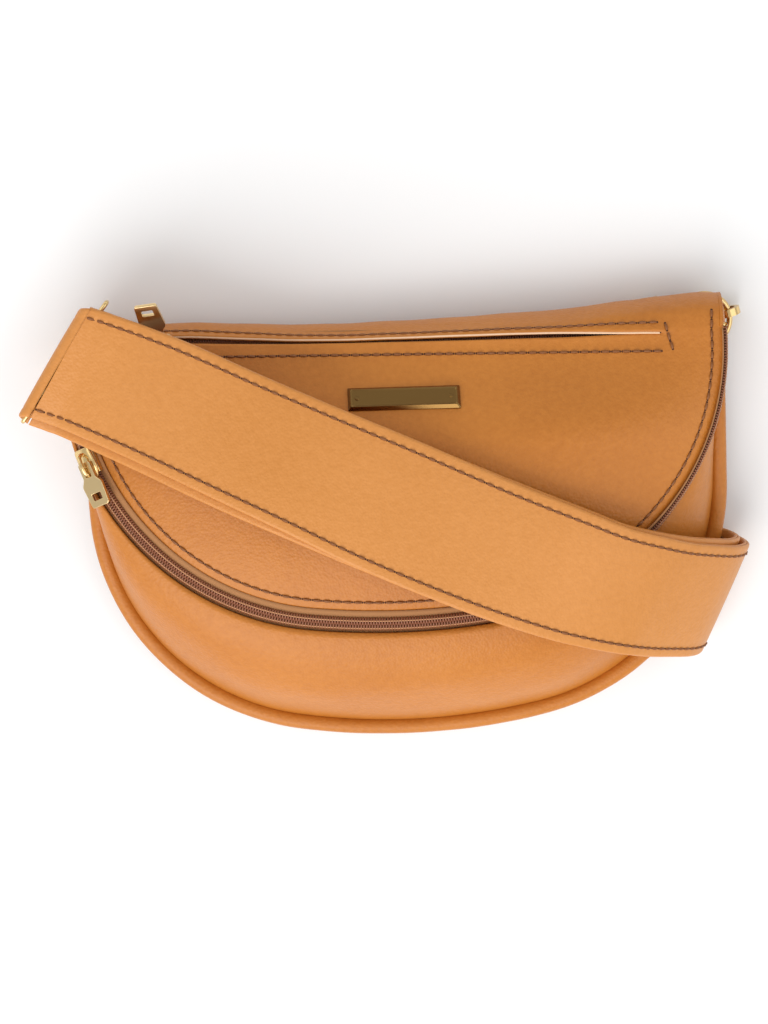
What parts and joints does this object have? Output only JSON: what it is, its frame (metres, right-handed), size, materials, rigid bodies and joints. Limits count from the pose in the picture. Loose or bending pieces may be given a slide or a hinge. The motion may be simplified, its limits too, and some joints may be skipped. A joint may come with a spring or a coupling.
{
  "type": "sling bag",
  "caption": "Soft half-moon sling bag with an arc zip, a slit pocket, gold hardware and a wide doubled strap wrapped round it, lying on its back.",
  "frame": {"origin": "on the surface the bag rests on, under the middle of its width", "axes": "+X to the bag's right, +Y toward its top edge, +Z out of its front"},
  "size_m": [0.2885, 0.194, 0.0686],
  "materials": {
    "leather": "fine pebble grain, satin",
    "strap_leather": "fine pebble grain, satin",
    "gold": "polished light gold",
    "zip_tape": "woven tape",
    "zip_coil": "nylon coil",
    "lining": "woven lining",
    "board": "fibre board",
    "cord": "twisted cord"
  },
  "bodies": {
    "bag": {"back_panel": "leather", "back_board": "board", "piping_cover": "leather", "piping_core": "cord", "gusset_panel": "leather", "lining": "lining", "front_panel": "leather", "main_zip_tape_outer": "zip_tape", "main_zip_tape_inner": "zip_tape", "main_zip_coil_outer": "zip_coil", "main_zip_coil_inner": "zip_coil", "main_zip_stops": "gold", "pocket_zip_tape_upper": "zip_tape", "pocket_zip_tape_lower": "zip_tape", "pocket_zip_coil_upper": "zip_coil", "pocket_zip_coil_lower": "zip_coil", "pocket_pouch": "lining", "name_plate": "gold", "name_plate_washers": "gold", "d_ring_tab_left": "leather", "d_ring_tab_right": "leather", "clasp_eye_left": "gold", "clasp_eye_right": "gold", "strap_front_inner": "strap_leather", "strap_front_outer": "strap_leather", "strap_left_fold": "strap_leather", "strap_side_inner": "strap_leather", "strap_side_outer": "strap_leather", "strap_under_outer": "strap_leather", "strap_under_inner": "strap_leather", "strap_under_fold": "strap_leather", "strap_return": "strap_leather", "strap_end_left": "strap_leather", "strap_end_right": "strap_leather"},
    "main_slider": {"main_zip_slider": "gold"},
    "main_pull": {"main_zip_pull": "gold"},
    "pocket_slider": {"pocket_zip_slider": "gold"},
    "pocket_pull": {"pocket_zip_pull": "gold"},
    "strap_frame": {"strap_slide_frame": "gold"},
    "d_ring_left": {"d_ring_left": "gold"},
    "hook_left": {"clasp_hook_left": "gold"},
    "gate_left": {"clasp_gate_left": "gold"},
    "d_ring_right": {"d_ring_right": "gold"},
    "hook_right": {"clasp_hook_right": "gold"},
    "gate_right": {"clasp_gate_right": "gold"}
  },
  "joints": [
    {"name": "main_zip_travel", "type": "hinge", "parent": "bag", "child": "main_slider", "pos_m": [-0.027, 0.06255, 0.03159], "axis": [0, 0.2079, 0.9781], "range_deg": [0, 60]},
    {"name": "main_zip_pull_swing", "type": "hinge", "parent": "main_slider", "child": "main_pull", "pos_m": [-0.12473, 0.02862, 0.04304], "axis": [-0.9397, -0.3345, 0.0711], "range_deg": [0, 85]},
    {"name": "pocket_zip_travel", "type": "slide", "parent": "bag", "child": "pocket_slider", "axis": [0.9994, -0.03, 0.0151], "range_m": [0, 0.188]},
    {"name": "pocket_zip_pull_swing", "type": "hinge", "parent": "pocket_slider", "child": "pocket_pull", "pos_m": [-0.09495, 0.07412, 0.03139], "axis": [0.9994, -0.03, 0.0151], "range_deg": [-58, 8]},
    {"name": "strap_frame_slide", "type": "slide", "parent": "bag", "child": "strap_frame", "axis": [0.91, -0.4147, 0], "range_m": [-0.002, 0]},
    {"name": "d_ring_swing_left", "type": "hinge", "parent": "bag", "child": "d_ring_left", "pos_m": [-0.12123, 0.06074, 0.006], "axis": [0.4147, 0.91, 0], "range_deg": [-8, 1.5]},
    {"name": "clasp_swivel_left", "type": "hinge", "parent": "bag", "child": "hook_left", "pos_m": [-0.10621, 0.0539, 0.0046], "axis": [0.91, -0.4147, 0], "range_deg": [-3, 3]},
    {"name": "clasp_gate_left", "type": "hinge", "parent": "hook_left", "child": "gate_left", "pos_m": [-0.13198, 0.06564, 0.00098], "axis": [0.4147, 0.91, 0], "range_deg": [0, 20], "stiffness_Nm_per_rad": 0.002, "springref_deg": -17.19},
    {"name": "d_ring_swing_right", "type": "hinge", "parent": "bag", "child": "d_ring_right", "pos_m": [0.12331, 0.06546, 0.0064], "axis": [0.2419, -0.9703, 0], "range_deg": [-8, 1.5]},
    {"name": "clasp_swivel_right", "type": "hinge", "parent": "bag", "child": "hook_right", "pos_m": [0.1073, 0.06147, 0.005], "axis": [-0.9703, -0.2419, 0], "range_deg": [-3, 3]},
    {"name": "clasp_gate_right", "type": "hinge", "parent": "hook_right", "child": "gate_right", "pos_m": [0.13478, 0.06832, 0.00138], "axis": [0.2419, -0.9703, 0], "range_deg": [0, 20], "stiffness_Nm_per_rad": 0.002, "springref_deg": -17.19}
  ]
}
